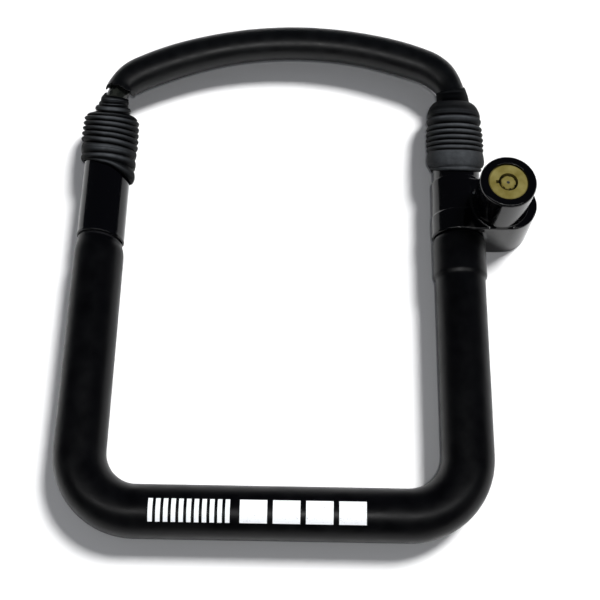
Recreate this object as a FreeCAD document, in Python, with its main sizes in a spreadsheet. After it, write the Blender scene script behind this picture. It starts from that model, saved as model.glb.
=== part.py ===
"""A motorcycle-size U lock: a sleeved steel U with a lock housing, and a bow whose legs slide into it.

Units are millimetres. Each piece is drawn in the lock's own plane: X = 0 is the centre line between
the two legs, Y = 0 is the axis of the cross bar at the closed end, and Z = 0 is the plane of the
tubes' axes. Every piece then gets one Placement, which puts the origin under the middle of the whole
lock, with the lock lying flat, the key face up (+Z) and the bow away from the cross bar (+Y).
"""
import FreeCAD, Part
import math
import os
import Sketcher

doc = FreeCAD.newDocument("u_lock")
Vector = FreeCAD.Vector
Rotation = FreeCAD.Rotation

# ---------------------------------------------------------------- driving dimensions
SIZES = {
    # the lower U
    "leg_half": 93.0,
    "tube_diameter": 22.0,
    "tube_bore": 16.0,
    "corner_radius": 29.0,
    "mouth": 185.0,
    "sleeve_diameter": 25.4,
    "sleeve_end": 139.2,
    "cuff_diameter": 27.4,
    "cuff_start": 121.0,
    "cuff_end": 142.6,
    "edge_round": 1.0,
    "window_inner": 6.0,
    "window_depth": 8.0,
    "window_gap": 0.25,
    # the printed mark on the cross bar
    "print_thickness": 0.08,
    "print_near": -6.6,
    "print_far": 3.9,
    "print_start": -56.6,
    "bar_width": 2.1,
    "bar_pitch": 3.55,
    "bar_count": 11,
    "wide_bar_start": -14.5,
    "wide_bar_width": 12.6,
    "wide_bar_pitch": 15.2,
    "wide_bar_count": 4,
    # the left collar and what the two sockets hold
    "collar_start": 140.2,
    "left_collar_diameter": 24.4,
    "upper_bush_start": 165.0,
    "lower_bush_start": 106.0,
    "bush_length": 18.0,
    "running_gap": 0.08,
    "seal_thickness": 2.4,
    "seal_diameter": 21.0,
    "plug_start": 83.0,
    "plug_end": 91.4,
    # the bow
    "rod_diameter": 11.0,
    "rod_end": 92.0,
    "rod_chamfer": 1.2,
    "bow_centre_across": 7.35,
    "bow_centre_along": 79.45,
    "bow_radius": 184.2,
    "elbow_radius": 26.0,
    "sheath_diameter": 18.0,
    "sheath_right_end": 221.0,
    "sheath_left_angle": 24.0,
    "groove_floor_radius": 3.6,
    "groove_half_width": 5.2,
    "groove_pitch": 18.0,
    "groove_count": 4,
    # the lock housing
    "band_radius": 13.9,
    "band_end": 155.5,
    "housing_start": 143.6,
    "housing_collar_radius": 13.4,
    "housing_collar_end": 175.5,
    "spigot_radius": 12.2,
    "axis_height": 15.5,
    "block_top": 13.0,
    "block_half_width": 14.4,
    "block_end_across": 117.5,
    "barrel_across": 113.0,
    "barrel_along": 158.0,
    "barrel_radius": 14.0,
    "barrel_top": 37.3,
    "barrel_round": 1.4,
    "block_round": 0.3,
    "shoulder_round": 0.6,
    "cover_inset": 2.6,
    "cover_thickness": 2.0,
    "cover_clearance": 0.05,
    "cover_to_tube": 1.0,
    "overcut": 1.0,
    # the lock cylinder, all round the barrel's own axis
    "shell_radius": 9.8,
    "shell_bottom": 8.5,
    "shell_top": 36.4,
    "face_chamfer": 0.6,
    "turning_gap": 0.1,
    "shell_bore": 6.5,
    "key_hole_radius": 4.8,
    "key_notch_width": 1.7,
    "key_notch_reach": 6.1,
    "post_radius": 3.7,
    "post_top": 35.9,
    "post_chamfer": 0.4,
    "flange_radius": 6.42,
    "flange_top": 27.5,
    "shear_line": 17.0,
    "shaft_radius": 2.5,
    "pin_count": 7,
    "pin_circle": 4.0,
    "pin_radius": 0.68,
    "pin_hole_radius": 0.75,
    "pin_top": 34.6,
    "pin_gap": 0.12,
    "spring_seat": 0.4,
    "driver_bottom": 12.6,
    "rear_housing_bottom": 9.0,
    "spring_wire": 0.24,
    "spring_pitch": 0.62,
    "hard_pin_radius": 0.8,
    "hard_pin_bottom": 24.0,
    "cross_pin_radius": 1.0,
    "cross_pin_height": 13.0,
    "cross_pin_inner": 5.4,
    "cross_pin_outer": 9.65,
    "grub_radius": 2.0,
    "grub_height": 22.0,
    "grub_inner": 8.4,
    "grub_outer": 13.4,
    "grub_socket": 1.0,
    "grub_socket_depth": 1.8,
    # the cam and the bolt
    "throw_radius": 3.0,
    "cam_radius": 5.6,
    "cam_top": 8.4,
    "cam_bottom": 5.4,
    "drive_pin_radius": 1.2,
    "drive_pin_bottom": 0.8,
    "cam_screw_radius": 1.25,
    "cam_screw_head": 2.3,
    "cam_screw_top": 13.5,
    "cam_screw_head_height": 1.5,
    "chamber_radius": 6.2,
    "bolt_half": 4.5,
    "bolt_gap": 0.2,
    "bolt_tip": 101.04,
    "bolt_back": 122.0,
    "bolt_chamfer": 1.0,
    "slot_floor": 0.4,
    "slot_width": 2.8,
    "tunnel_back": 124.0,
    "guide_start": 104.5,
    "guide_clearance": 0.02,
    # small fasteners of the housing
    "cover_screw_radius": 1.25,
    "cover_screw_head": 2.3,
    "cover_screw_length": 9.0,
    "cover_screw_offset": 4.6,
    "cover_screw_back": 2.6,
    "head_sunk": 0.3,
    "slot_half": 0.35,
    "slot_depth": 0.6,
    "housing_pin_radius": 1.25,
    "housing_pin_across": 100.4,
    "housing_pin_along": 164.4,
    "housing_pin_bottom": 5.5,
    "housing_pin_top": 11.6,
    # the bellows
    "right_bellows_bottom": 180.5,
    "right_lip_end": 184.6,
    "right_lip_radius": 13.4,
    "right_lip_curve": 3.2,
    "right_lobe_end": 192.9,
    "right_lobe_curve": 5.9,
    "right_ring_pitch": 3.2,
    "right_shoulder_end": 225.3,
    "right_shoulder_curve": 16.4,
    "right_shoulder_root": 12.4,
    "right_neck_end": 229.4,
    "right_neck_radius": 10.0,
    "right_neck_flare": 1.4,
    "left_bellows_bottom": 178.2,
    "left_lip_end": 192.0,
    "left_lip_radius": 14.0,
    "left_lip_curve": 20.0,
    "left_ring_pitch": 3.5,
    "left_shoulder_end": 216.0,
    "left_shoulder_curve": 5.2,
    "left_shoulder_root": 13.4,
    "left_neck_end": 223.5,
    "left_neck_radius": 9.2,
    "left_neck_step": 0.9,
    "left_neck_bore": 6.1,
    "ring_count": 5,
    "ring_radius": 15.3,
    "ring_depth": 1.35,
    "bellows_wall": 1.7,
    "seal_room": 2.0,
    "cuff_gap": 0.4,
}

sheet = doc.addObject("Spreadsheet::Sheet", "sheet")
for row, (alias, size) in enumerate(SIZES.items(), start=1):
    sheet.set(f"A{row}", alias)
    sheet.set(f"B{row}", str(size))
    sheet.setAlias(f"B{row}", alias)
doc.recompute()


def cell(expression):
    """Writes sheet. before every alias in an expression."""
    words = []
    word = ""
    for letter in expression + " ":
        if letter.isalpha() or letter == "_":
            word += letter
            continue
        words.append("sheet." + word if word in SIZES else word)
        words.append(letter)
        word = ""
    return "".join(words).strip()


def value(expression):
    """The number that an expression over the sheet comes to."""
    result = sheet.evalExpression(cell(str(expression)))
    return float(getattr(result, "Value", result))


def bind(item, **sizes):
    """Binds an object's properties to expressions over the sheet."""
    for name, expression in sizes.items():
        item.setExpression(name.replace("__", "."), cell(str(expression)))


# ---------------------------------------------------------------- the frame
LEFTMOST = -value("leg_half + ring_radius")
RIGHTMOST = value("block_end_across + block_half_width")
LOWEST_Y = -value("sleeve_diameter / 2")
HIGHEST_Y = value("bow_centre_along + bow_radius + sheath_diameter / 2")
SHIFT = Vector(-(LEFTMOST + RIGHTMOST) / 2, -(LOWEST_Y + HIGHEST_Y) / 2, value("axis_height"))
nodes = []


def keep(item, label, across=0.0, along=0.0):
    """Names a finished piece and places it. across and along are where its own origin lies."""
    item.Label = label
    item.Placement = FreeCAD.Placement(SHIFT + Vector(across, along, 0), Rotation())
    nodes.append(item)
    return item


# ---------------------------------------------------------------- sketch helpers
def new_body(name):
    return doc.addObject("PartDesign::Body", name)


def new_sketch(body, name, role="XY_Plane", height="0"):
    """A sketch on one of the body's own origin planes, raised along the plane's normal."""
    sketch = body.newObject("Sketcher::SketchObject", name)
    planes = [item for item in body.Origin.OriginFeatures if item.Role == role]
    sketch.AttachmentSupport = [(planes[0], "")]
    sketch.MapMode = "FlatFace"
    bind(sketch, AttachmentOffset__Base__z=height)
    return sketch


def fix(sketch, edge, point, across, along):
    """Ties one end of an edge to expressions, measured from the sketch's origin."""
    for kind, expression in (("DistanceX", across), ("DistanceY", along)):
        constraint = Sketcher.Constraint(kind, -1, 1, edge, point, value(expression))
        index = sketch.addConstraint(constraint)
        sketch.setExpression(f"Constraints[{index}]", cell(str(expression)))


def arc_between(first, last, radius):
    """The short arc between two points. A positive radius bulges to the left of the way along."""
    chord = last.sub(first)
    half = chord.Length / 2
    side = Vector(-chord.y, chord.x, 0).normalize() * math.copysign(1, radius)
    rise = abs(radius) - math.sqrt(max(radius * radius - half * half, 0))
    return Part.Arc(first, (first + last) * 0.5 + side * rise, last)


def draw(sketch, corners, closed=True):
    """Draws lines and arcs through corners. A corner is (across, along) or (across, along, radius).

    A radius makes the edge that leaves the corner an arc. All entries are expressions.
    """
    points = [Vector(value(corner[0]), value(corner[1]), 0) for corner in corners]
    count = len(corners) if closed else len(corners) - 1
    ends = []
    for index in range(count):
        first = points[index]
        last = points[(index + 1) % len(points)]
        if len(corners[index]) == 3:
            arc = arc_between(first, last, value(corners[index][2]))
            edge = sketch.addGeometry(arc, False)
            forward = sketch.getPoint(edge, 1).distanceToPoint(first) < 1e-4
            ends.append((edge, 1, 2) if forward else (edge, 2, 1))
        else:
            edge = sketch.addGeometry(Part.LineSegment(first, last), False)
            ends.append((edge, 1, 2))
    for index in range(count if closed else count - 1):
        here = ends[index]
        after = ends[(index + 1) % count]
        sketch.addConstraint(Sketcher.Constraint("Coincident", here[0], here[2], after[0], after[1]))
    for index in range(count):
        fix(sketch, ends[index][0], ends[index][1], corners[index][0], corners[index][1])
        if len(corners[index]) == 3:
            size = f"abs({corners[index][2]})"
            bound = sketch.addConstraint(Sketcher.Constraint("Radius", ends[index][0], value(size)))
            sketch.setExpression(f"Constraints[{bound}]", cell(size))
    if not closed:
        fix(sketch, ends[-1][0], ends[-1][2], corners[-1][0], corners[-1][1])
    return sketch


def circle(sketch, across, along, radius):
    centre = Vector(value(across), value(along), 0)
    edge = sketch.addGeometry(Part.Circle(centre, Vector(0, 0, 1), value(radius)), False)
    fix(sketch, edge, 3, across, along)
    bound = sketch.addConstraint(Sketcher.Constraint("Radius", edge, value(radius)))
    sketch.setExpression(f"Constraints[{bound}]", cell(str(radius)))
    return sketch


def rectangle(sketch, left, low, right, high):
    return draw(sketch, [(left, low), (right, low), (right, high), (left, high)])


# ---------------------------------------------------------------- feature helpers
def pad(body, name, sketch, length, back=False):
    feature = body.newObject("PartDesign::Pad", name)
    feature.Profile = sketch
    feature.Reversed = back
    bind(feature, Length=length)
    return feature


def pocket(body, name, sketch, length, back=False):
    """Cuts against the sketch's normal, or along it with back. A pocket that cuts nothing stops the build."""
    doc.recompute()
    before = body.Shape.Volume
    feature = body.newObject("PartDesign::Pocket", name)
    feature.Profile = sketch
    feature.Reversed = back
    bind(feature, Length=length)
    doc.recompute()
    if body.Shape.Volume > before - 1e-3:
        raise RuntimeError(f"{name} cuts nothing")
    return feature


def revolve(body, name, sketch):
    feature = body.newObject("PartDesign::Revolution", name)
    feature.Profile = sketch
    feature.ReferenceAxis = (sketch, ["V_Axis"])
    feature.Angle = 360
    return feature


def turned(name, corners, side=0, across=0.0, along=0.0, role="XY_Plane"):
    """A turned piece. On XY_Plane it turns about Y on the leg of the given side, on XZ_Plane about Z."""
    body = new_body(name)
    sketch = draw(new_sketch(body, name + "_outline", role), corners)
    revolve(body, name + "_turn", sketch)
    return keep(body, name, across=side * value("leg_half") + across, along=along)


def ring_corners(inner, outer, low, high):
    return [(inner, low), (outer, low), (outer, high), (inner, high)]


def pipe(body, name, path_corners, start, across, radii):
    """A pipe swept along a path that starts upright at (across, start); radii are outer, then inner."""
    path = draw(new_sketch(body, name + "_path"), path_corners, closed=False)
    profile = new_sketch(body, name + "_section", "XZ_Plane", f"-({start})")
    for radius in radii:
        circle(profile, across, "0", radius)
    doc.recompute()
    sweep = body.newObject("PartDesign::AdditivePipe", name + "_sweep")
    sweep.Profile = profile
    sweep.Spine = (path, [f"Edge{number + 1}" for number in range(len(path_corners) - 1)])
    return sweep


def edges_where(shape, test):
    """The names of the edges whose middle point passes a test."""
    names = []
    for number, edge in enumerate(shape.Edges, start=1):
        if test(edge):
            names.append(f"Edge{number}")
    return names


def fillet(body, name, radius, test):
    doc.recompute()
    base = body.Tip
    names = edges_where(base.Shape, test)
    if not names:
        raise RuntimeError(f"{name} finds no edges")
    feature = body.newObject("PartDesign::Fillet", name)
    feature.Base = (base, names)
    bind(feature, Radius=radius)
    return feature


def round_edge_at(radius, centre, axis):
    """A test for a full circular edge of one radius round a centre."""
    def test(edge):
        curve = edge.Curve
        if not isinstance(curve, Part.Circle) or abs(curve.Radius - radius) > 1e-3:
            return False
        return abs(curve.Axis.dot(axis)) > 0.999 and curve.Center.distanceToPoint(centre) < 1e-3
    return test


# ---------------------------------------------------------------- primitive helpers
def cylinder(name, radius, height, across="0", along="0", up="0", turn=None):
    item = doc.addObject("Part::Cylinder", name)
    if turn is not None:
        item.Placement = FreeCAD.Placement(Vector(), turn)
    bind(item, Radius=radius, Height=height)
    bind(item, Placement__Base__x=across, Placement__Base__y=along, Placement__Base__z=up)
    return item


def block(name, left, right, near, far, low, high):
    item = doc.addObject("Part::Box", name)
    bind(item, Length=f"({right}) - ({left})", Width=f"({far}) - ({near})", Height=f"({high}) - ({low})")
    bind(item, Placement__Base__x=left, Placement__Base__y=near, Placement__Base__z=low)
    return item


def cut(name, base, tool):
    item = doc.addObject("Part::Cut", name)
    item.Base = base
    item.Tool = tool
    return item


def fuse(name, *items):
    item = doc.addObject("Part::MultiFuse", name)
    item.Shapes = list(items)
    return item


def group(name, items):
    """Several separate solids that share one node."""
    item = doc.addObject("Part::Compound", name)
    item.Links = list(items)
    return item


LEG = "leg_half"
BARREL_X = value("barrel_across")
BARREL_Y = value("barrel_along")
ALONG_Y = Rotation(Vector(1, 0, 0), -90)


# ---------------------------------------------------------------- the lower U
def u_path(end):
    """The U's centre line, from the right leg's end round the cross bar to the left leg's end."""
    corner = "corner_radius"
    return [
        (LEG, end),
        (LEG, corner, corner),
        (f"{LEG} - {corner}", "0"),
        (f"{corner} - {LEG}", "0", corner),
        (f"-{LEG}", corner),
        (f"-{LEG}", end),
    ]


def make_lower_u_tube():
    """The hardened tube, with the bolt's window and the housing pin's hole in its right leg."""
    body = new_body("lower_u_tube")
    pipe(body, "tube", u_path("mouth"), "mouth", LEG, ["tube_diameter / 2", "tube_bore / 2"])
    window = new_sketch(body, "window_outline", "YZ_Plane", f"{LEG} + window_inner")
    half = "(bolt_half + window_gap)"
    rectangle(window, f"barrel_along - {half}", f"-{half}", f"barrel_along + {half}", half)
    pocket(body, "window", window, "window_depth", back=True)
    pin_hole = new_sketch(body, "pin_hole_outline", "XY_Plane", "housing_pin_top")
    circle(pin_hole, "housing_pin_across", "housing_pin_along", "housing_pin_radius")
    pocket(body, "pin_hole", pin_hole, "housing_pin_top - housing_pin_bottom")
    keep(body, "lower_u_tube")


def make_vinyl_sleeve():
    """The vinyl cover, folded back on itself where it meets the lock housing."""
    body = new_body("vinyl_sleeve")
    bore = "tube_diameter / 2"
    pipe(body, "sleeve", u_path("sleeve_end"), "sleeve_end", LEG, ["sleeve_diameter / 2", bore])
    fold = new_sketch(body, "fold_outline", "XZ_Plane", "-cuff_end")
    circle(fold, LEG, "0", "cuff_diameter / 2")
    circle(fold, LEG, "0", bore)
    pad(body, "fold", fold, "cuff_end - cuff_start")
    keep(body, "vinyl_sleeve")


def make_print_mark():
    """A plain mark on the cross bar, a row of narrow bars and then wide ones, as a thin film."""
    bars = []
    for kind, start in (("bar", "print_start"), ("wide_bar", "wide_bar_start")):
        for number in range(int(value(f"{kind}_count"))):
            left = f"{start} + {number} * {kind}_pitch"
            bars.append(block(f"print_{kind}_{number + 1}", left, f"{left} + {kind}_width",
                              "print_near", "print_far", "0", "sleeve_diameter"))
    along_x = Rotation(Vector(0, 1, 0), 90)
    film = cylinder("film_outside", "sleeve_diameter / 2 + print_thickness", "2 * corner_radius + leg_half",
                    "-corner_radius - leg_half / 2", turn=along_x)
    core = cylinder("film_inside", "sleeve_diameter / 2", "2 * corner_radius + leg_half",
                    "-corner_radius - leg_half / 2", turn=along_x)
    mark = doc.addObject("Part::Common", "print_common")
    mark.Base = cut("film", film, core)
    mark.Tool = fuse("print_bars", *bars)
    keep(mark, "print_mark")


def make_left_collar():
    """The painted steel ferrule over the left leg's top."""
    outer = "left_collar_diameter / 2"
    inner = "tube_diameter / 2"
    corners = [
        (inner, "collar_start"),
        (f"{outer} - edge_round", "collar_start", "-edge_round"),
        (outer, "collar_start + edge_round"),
        (outer, "mouth - edge_round", "-edge_round"),
        (f"{outer} - edge_round", "mouth"),
        (inner, "mouth"),
    ]
    turned("left_collar", corners, side=-1)


def make_socket_pieces(side, name):
    """What each leg's bore holds: two guide bushes, a stop plug, and the wiper seal at the mouth."""
    bore = "tube_bore / 2"
    guide = "rod_diameter / 2 + running_gap"
    for level in ("upper", "lower"):
        start = f"{level}_bush_start"
        corners = ring_corners(guide, bore, start, f"{start} + bush_length")
        turned(f"{name}_{level}_bush", corners, side=side)
    turned(f"{name}_stop_plug", ring_corners("0", bore, "plug_start", "plug_end"), side=side)
    seal = ring_corners(guide, "seal_diameter / 2", "mouth", "mouth + seal_thickness")
    turned(f"{name}_mouth_seal", seal, side=side)


# ---------------------------------------------------------------- the lock housing
def block_outline(sketch, inset, start):
    """The block seen from above: straight sides with a half-round outer end."""
    half = f"(block_half_width - {inset})"
    draw(sketch, [
        (start, f"barrel_along - {half}"),
        ("block_end_across", f"barrel_along - {half}", f"-{half} * 1.0001"),
        (f"block_end_across + {half}", "barrel_along", f"-{half} * 1.0001"),
        ("block_end_across", f"barrel_along + {half}"),
        (start, f"barrel_along + {half}"),
    ])
    return sketch


def cover_screw_places():
    """The three cover screws, clear of the bolt's tunnel."""
    side = "(bolt_half + cover_screw_offset)"
    return [
        ("tunnel_back + cover_screw_back", "barrel_along"),
        ("barrel_across", f"barrel_along - {side}"),
        ("barrel_across", f"barrel_along + {side}"),
    ]


def make_lock_housing():
    """One casting: the collar round the right leg, the bolt block and the upright barrel."""
    body = new_body("lock_housing")
    floor = "-axis_height"
    for name, radius, start, end in (
        ("spigot", "spigot_radius", "housing_collar_end", "mouth"),
        ("collar", "housing_collar_radius", "band_end", "housing_collar_end"),
        ("band", "band_radius", "housing_start", "band_end"),
    ):
        sketch = new_sketch(body, name + "_outline", "XZ_Plane", f"-({end})")
        circle(sketch, LEG, "0", radius)
        pad(body, name, sketch, f"{end} - {start}")
    outline = block_outline(new_sketch(body, "block_outline", "XY_Plane", floor), "0", LEG)
    pad(body, "block", outline, "block_top + axis_height")
    barrel = new_sketch(body, "barrel_outline", "XY_Plane", floor)
    circle(barrel, "barrel_across", "barrel_along", "barrel_radius")
    pad(body, "barrel", barrel, "barrel_top + axis_height")

    rim = Vector(BARREL_X, BARREL_Y, value("barrel_top"))
    rim_edge = round_edge_at(value("barrel_radius"), rim, Vector(0, 0, 1))
    fillet(body, "barrel_rim", "barrel_round", rim_edge)
    mouth = Vector(value(LEG), value("mouth"), 0)
    fillet(body, "mouth_round", "shoulder_round", round_edge_at(value("spigot_radius"), mouth, Vector(0, 1, 0)))

    def on_block_top(edge):
        box = edge.BoundBox
        level = abs(box.ZMin - value("block_top")) < 1e-3 and box.ZLength < 1e-3
        reach = max(abs(box.YMin - BARREL_Y), abs(box.YMax - BARREL_Y))
        return level and abs(reach - value("block_half_width")) < 1e-3

    fillet(body, "block_rounds", "block_round", on_block_top)

    tube_bore = new_sketch(body, "tube_bore_outline", "XZ_Plane", "-mouth")
    circle(tube_bore, LEG, "0", "tube_diameter / 2")
    pocket(body, "tube_bore_cut", tube_bore, "mouth - housing_start + overcut", back=True)
    bore = new_sketch(body, "cylinder_bore_outline", "XY_Plane", "barrel_top")
    circle(bore, "barrel_across", "barrel_along", "shell_radius")
    pocket(body, "cylinder_bore", bore, "barrel_top - shell_bottom")
    chamber = new_sketch(body, "cam_chamber_outline", "XY_Plane", "shell_bottom")
    circle(chamber, "barrel_across", "barrel_along", "chamber_radius")
    pocket(body, "cam_chamber", chamber, "shell_bottom - bolt_half - bolt_gap")
    recess = new_sketch(body, "cover_recess_outline", "XY_Plane", floor)
    block_outline(recess, "cover_inset", f"{LEG} + tube_diameter / 2 + cover_to_tube")
    pocket(body, "cover_recess", recess, "cover_thickness", back=True)
    tunnel = new_sketch(body, "bolt_tunnel_outline", "XY_Plane", f"{floor} + cover_thickness")
    half = "(bolt_half + bolt_gap)"
    near, far = f"barrel_along - {half}", f"barrel_along + {half}"
    rectangle(tunnel, f"{LEG} + window_inner", near, "tunnel_back", far)
    pocket(body, "bolt_tunnel", tunnel, f"axis_height - cover_thickness + {half}", back=True)
    threads = new_sketch(body, "cover_threads_outline", "XY_Plane", f"{floor} + cover_thickness")
    for across, along in cover_screw_places():
        circle(threads, across, along, "cover_screw_radius")
    pocket(body, "cover_threads", threads, "cover_screw_length", back=True)
    grub = new_sketch(body, "grub_outline", "XZ_Plane", "-(barrel_along + barrel_radius + overcut)")
    circle(grub, "barrel_across", "grub_height", "grub_radius")
    pocket(body, "grub_thread", grub, "barrel_radius - shell_radius + 2 * overcut", back=True)
    pin_hole = new_sketch(body, "housing_pin_outline", "XY_Plane", "block_top + overcut")
    circle(pin_hole, "housing_pin_across", "housing_pin_along", "housing_pin_radius")
    pocket(body, "housing_pin_hole", pin_hole, "block_top + overcut - housing_pin_bottom")
    keep(body, "lock_housing")


def make_housing_pin():
    height = "housing_pin_top - housing_pin_bottom"
    pin = cylinder("housing_pin_rod", "housing_pin_radius", height, up="housing_pin_bottom")
    stage = group("housing_pin_group", [pin])
    keep(stage, "housing_pin", across=value("housing_pin_across"), along=value("housing_pin_along"))


def make_bottom_cover():
    """The inset plate that closes the bolt's tunnel, with three countersunk holes."""
    body = new_body("bottom_cover")
    sketch = new_sketch(body, "cover_outline", "XY_Plane", "-axis_height")
    start = f"{LEG} + tube_diameter / 2 + cover_to_tube + cover_clearance"
    block_outline(sketch, "(cover_inset + cover_clearance)", start)
    pad(body, "cover_plate", sketch, "cover_thickness")
    holes = new_sketch(body, "cover_holes_outline", "XY_Plane", "-axis_height")
    for across, along in cover_screw_places():
        circle(holes, across, along, "cover_screw_head")
    pocket(body, "cover_holes", holes, "cover_thickness", back=True)
    keep(body, "bottom_cover")


def make_cover_screws():
    """Three flat-head screws: the head sits in the cover, the shank in the casting."""
    screws = []
    for number, (across, along) in enumerate(cover_screw_places(), start=1):
        head = cylinder(f"cover_head_{number}", "cover_screw_head", "cover_thickness - head_sunk",
                        across, along, "head_sunk - axis_height")
        slot = block(f"cover_slot_{number}", f"{across} - slot_half", f"{across} + slot_half",
                     f"{along} - cover_screw_head", f"{along} + cover_screw_head",
                     "-axis_height", "head_sunk + slot_depth - axis_height")
        shank = cylinder(f"cover_shank_{number}", "cover_screw_radius", "cover_screw_length",
                         across, along, "cover_thickness - axis_height")
        slotted = cut(f"cover_slotted_{number}", head, slot)
        screws.append(fuse(f"cover_screw_{number}", slotted, shank))
    keep(group("cover_screws_group", screws), "cover_screws")


def make_bolt_guide():
    half = "(bolt_half + bolt_gap - guide_clearance)"
    guide = block("bolt_guide_box", "guide_start", "tunnel_back - bolt_gap",
                  f"barrel_along - {half}", f"barrel_along + {half}",
                  "cover_thickness - axis_height", "-(bolt_half + bolt_gap)")
    keep(group("bolt_guide_group", [guide]), "bolt_guide")


# ---------------------------------------------------------------- the lock cylinder
def on_pin_circle(number):
    """Where a numbered pin stands round the cylinder's axis, as two expressions."""
    angle = f"(({number} + 0.5) * 360 / pin_count)"
    return f"pin_circle * cos({angle} * 1deg)", f"pin_circle * sin({angle} * 1deg)"


def drill_pin_holes(body, top, depth):
    """Seven holes on the pin circle, made as one pocket and a polar pattern."""
    sketch = new_sketch(body, body.Name + "_pin_hole_outline", "XY_Plane", top)
    across, along = on_pin_circle(0)
    circle(sketch, across, along, "pin_hole_radius")
    hole = pocket(body, body.Name + "_pin_hole", sketch, depth)
    pattern = body.newObject("PartDesign::PolarPattern", body.Name + "_pin_holes")
    pattern.Originals = [hole]
    pattern.Axis = (sketch, ["N_Axis"])
    pattern.Angle = 360
    bind(pattern, Occurrences="pin_count")
    body.Tip = pattern


def make_cylinder_shell():
    """The brass case, with the round key hole and its side notch in the face."""
    body = new_body("cylinder_shell")
    outline = new_sketch(body, "shell_outline", "XZ_Plane")
    draw(outline, [
        ("shell_bore", "shell_bottom"),
        ("shell_radius", "shell_bottom"),
        ("shell_radius", "shell_top - face_chamfer"),
        ("shell_radius - face_chamfer", "shell_top"),
        ("key_hole_radius", "shell_top"),
        ("key_hole_radius", "flange_top + turning_gap"),
        ("shell_bore", "flange_top + turning_gap"),
    ])
    revolve(body, "shell_turn", outline)
    notch = new_sketch(body, "key_notch_outline", "XY_Plane", "shell_top")
    half = "key_notch_width / 2"
    rectangle(notch, "-key_notch_reach", f"-{half}", "overcut - key_hole_radius", half)
    pocket(body, "key_notch", notch, "shell_top - flange_top - turning_gap")
    cross = new_sketch(body, "cross_hole_outline", "XZ_Plane", "shell_radius + overcut")
    circle(cross, "0", "cross_pin_height", "cross_pin_radius")
    pocket(body, "cross_hole", cross, "shell_radius - shell_bore + 1.5 * overcut")
    dimple = new_sketch(body, "dimple_outline", "XZ_Plane", "-(shell_radius + overcut)")
    circle(dimple, "0", "grub_height", "grub_radius")
    pocket(body, "dimple", dimple, "shell_radius + overcut - grub_inner", back=True)
    keep(body, "cylinder_shell", across=BARREL_X, along=BARREL_Y)


def make_rear_pin_housing():
    """The fixed half of the pin stack, under the shear line."""
    body = new_body("rear_pin_housing")
    outline = new_sketch(body, "rear_outline", "XZ_Plane")
    corners = ring_corners("shaft_radius + running_gap", "shell_bore", "rear_housing_bottom", "shear_line")
    revolve(body, "rear_turn", draw(outline, corners))
    drill_pin_holes(body, "shear_line", "shear_line - rear_housing_bottom - spring_seat")
    cross = new_sketch(body, "rear_cross_outline", "XZ_Plane", "shell_bore + overcut")
    circle(cross, "0", "cross_pin_height", "cross_pin_radius")
    pocket(body, "rear_cross_hole", cross, "shell_bore + overcut - cross_pin_inner")
    keep(body, "rear_pin_housing", across=BARREL_X, along=BARREL_Y)


def pin_group(name, low, high):
    """Seven pins on the pin circle, from one height to another."""
    pins = []
    for number in range(int(value("pin_count"))):
        across, along = on_pin_circle(number)
        pins.append(cylinder(f"{name}_{number + 1}", "pin_radius", f"({high}) - ({low})", across, along, low))
    keep(group(name + "_group", pins), name, across=BARREL_X, along=BARREL_Y)


def make_pin_springs():
    """Seven small coil springs under the driver pins."""
    wire = value("spring_wire") / 2
    coil_radius = value("pin_radius") - wire
    bottom = value("rear_housing_bottom + spring_seat") + 2 * wire
    height = value("driver_bottom") - bottom - 2 * wire
    helix = Part.makeHelix(value("spring_pitch"), height, coil_radius)
    section = Part.Wire(Part.makeCircle(wire, Vector(coil_radius, 0, 0), Vector(0, 1, 0)))
    coil = Part.Wire(helix).makePipeShell([section], True, True)
    coils = []
    for number in range(int(value("pin_count"))):
        across, along = on_pin_circle(number)
        spring = coil.copy()
        spring.translate(Vector(value(across), value(along), bottom))
        coils.append(spring)
    springs = doc.addObject("Part::Feature", "pin_springs")
    springs.Shape = Part.makeCompound(coils)
    keep(springs, "pin_springs", across=BARREL_X, along=BARREL_Y)


def make_cross_pin():
    pin = cylinder("cross_pin_rod", "cross_pin_radius", "cross_pin_outer - cross_pin_inner",
                   "0", "-cross_pin_outer", "cross_pin_height", ALONG_Y)
    keep(group("cross_pin_group", [pin]), "cylinder_cross_pin", across=BARREL_X, along=BARREL_Y)


def make_grub_screw():
    """The socket screw that holds the cylinder in the barrel, from behind."""
    screw = cylinder("grub_rod", "grub_radius", "grub_outer - grub_inner", "0", "grub_inner",
                     "grub_height", ALONG_Y)
    socket = cylinder("grub_socket_cut", "grub_socket", "grub_socket_depth + overcut", "0",
                      "grub_outer - grub_socket_depth",
                      "grub_height", ALONG_Y)
    keep(cut("grub_cut", screw, socket), "cylinder_grub_screw", across=BARREL_X, along=BARREL_Y)


def make_cylinder_spindle():
    """The turning half: the key's centre post, the flange that holds the key pins, and the shaft."""
    body = new_body("cylinder_spindle")
    outline = new_sketch(body, "spindle_outline", "XZ_Plane")
    flange_bottom = "shear_line + turning_gap"
    draw(outline, [
        ("cam_screw_radius", "cam_top"),
        ("shaft_radius", "cam_top"),
        ("shaft_radius", flange_bottom),
        ("flange_radius", flange_bottom),
        ("flange_radius", "flange_top"),
        ("post_radius", "flange_top"),
        ("post_radius", "post_top - post_chamfer"),
        ("post_radius - post_chamfer", "post_top"),
        ("hard_pin_radius", "post_top"),
        ("hard_pin_radius", "hard_pin_bottom"),
        ("cam_screw_radius", "hard_pin_bottom - 1"),
    ])
    revolve(body, "spindle_turn", outline)
    drill_pin_holes(body, "post_top", f"post_top - ({flange_bottom}) + overcut")
    keep(body, "cylinder_spindle", across=BARREL_X, along=BARREL_Y)


def make_hard_pin():
    height = "post_top - turning_gap - hard_pin_bottom"
    pin = cylinder("hard_pin_rod", "hard_pin_radius", height, up="hard_pin_bottom")
    keep(group("hard_pin_group", [pin]), "anti_drill_pin", across=BARREL_X, along=BARREL_Y)


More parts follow.
